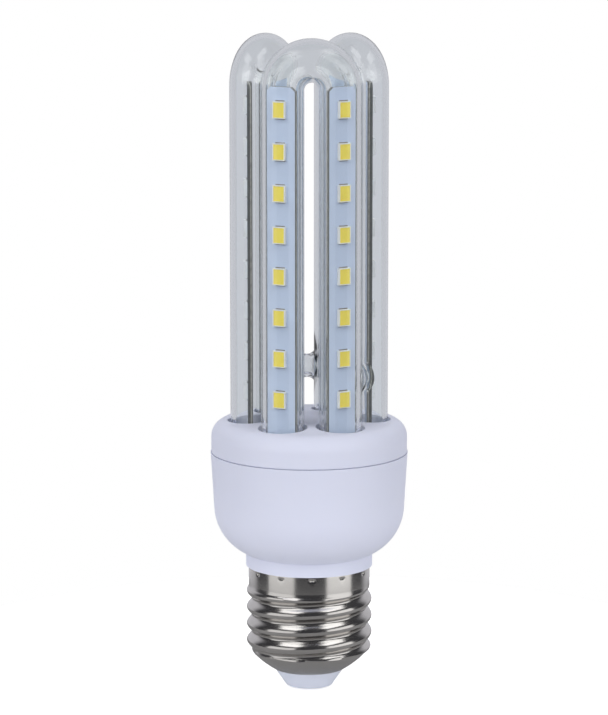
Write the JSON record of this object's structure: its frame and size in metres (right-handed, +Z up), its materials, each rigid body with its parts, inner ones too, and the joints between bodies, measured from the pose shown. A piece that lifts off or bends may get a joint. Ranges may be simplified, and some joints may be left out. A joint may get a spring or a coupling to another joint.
{
  "type": "u-tube led lamp",
  "caption": "Screw-cap LED lamp with clear glass U-tubes fused in a ring, upright LED strips inside them and a rounded white housing for its driver.",
  "frame": {"origin": "on the lamp's axis, at the flat face of the centre contact", "axes": "+Z up the lamp's axis from the screw cap to the tube tops; -Y towards the front U-tube"},
  "size_m": [0.0418, 0.0418, 0.1395],
  "materials": {
    "nickel_shell": "polished nickel plate",
    "insulator_plastic": "moulded",
    "contact_metal": "tinned rivet",
    "white_plastic": "smooth moulded",
    "clear_glass": "clear drawn tube",
    "sealant": "cured silicone",
    "strip_board": "white solder mask",
    "led_body": "moulded",
    "phosphor": "cured resin",
    "board_laminate": "bare laminate",
    "capacitor_sleeve": "shrunk sleeve",
    "ferrite": "sintered",
    "copper_wire": "enamelled",
    "film_dip": "dipped epoxy",
    "fuse_body": "cement coat",
    "live_wire": "extruded sleeve",
    "neutral_wire": "extruded sleeve",
    "chip_epoxy": "moulded epoxy"
  },
  "bodies": {
    "root": {"screw_shell": "nickel_shell", "cap_insulator": "insulator_plastic", "centre_contact": "contact_metal", "lower_housing": "white_plastic", "top_cover": "white_plastic", "glass_tubes": "clear_glass", "tube_adhesive": "sealant", "driver_board": "board_laminate", "bulk_capacitor": "capacitor_sleeve", "coil_core": "ferrite", "coil_winding": "copper_wire", "film_capacitor": "film_dip", "fuse_resistor": "fuse_body", "live_lead": "live_wire", "neutral_lead": "neutral_wire", "bridge_rectifier": "chip_epoxy", "driver_chip": "chip_epoxy", "led_strip_1": "strip_board", "led_packages_1": "led_body", "led_phosphors_1": "phosphor", "led_strip_2": "strip_board", "led_packages_2": "led_body", "led_phosphors_2": "phosphor", "led_strip_3": "strip_board", "led_packages_3": "led_body", "led_phosphors_3": "phosphor", "led_strip_4": "strip_board", "led_packages_4": "led_body", "led_phosphors_4": "phosphor", "led_strip_5": "strip_board", "led_packages_5": "led_body", "led_phosphors_5": "phosphor", "led_strip_6": "strip_board", "led_packages_6": "led_body", "led_phosphors_6": "phosphor"}
  },
  "joints": []
}
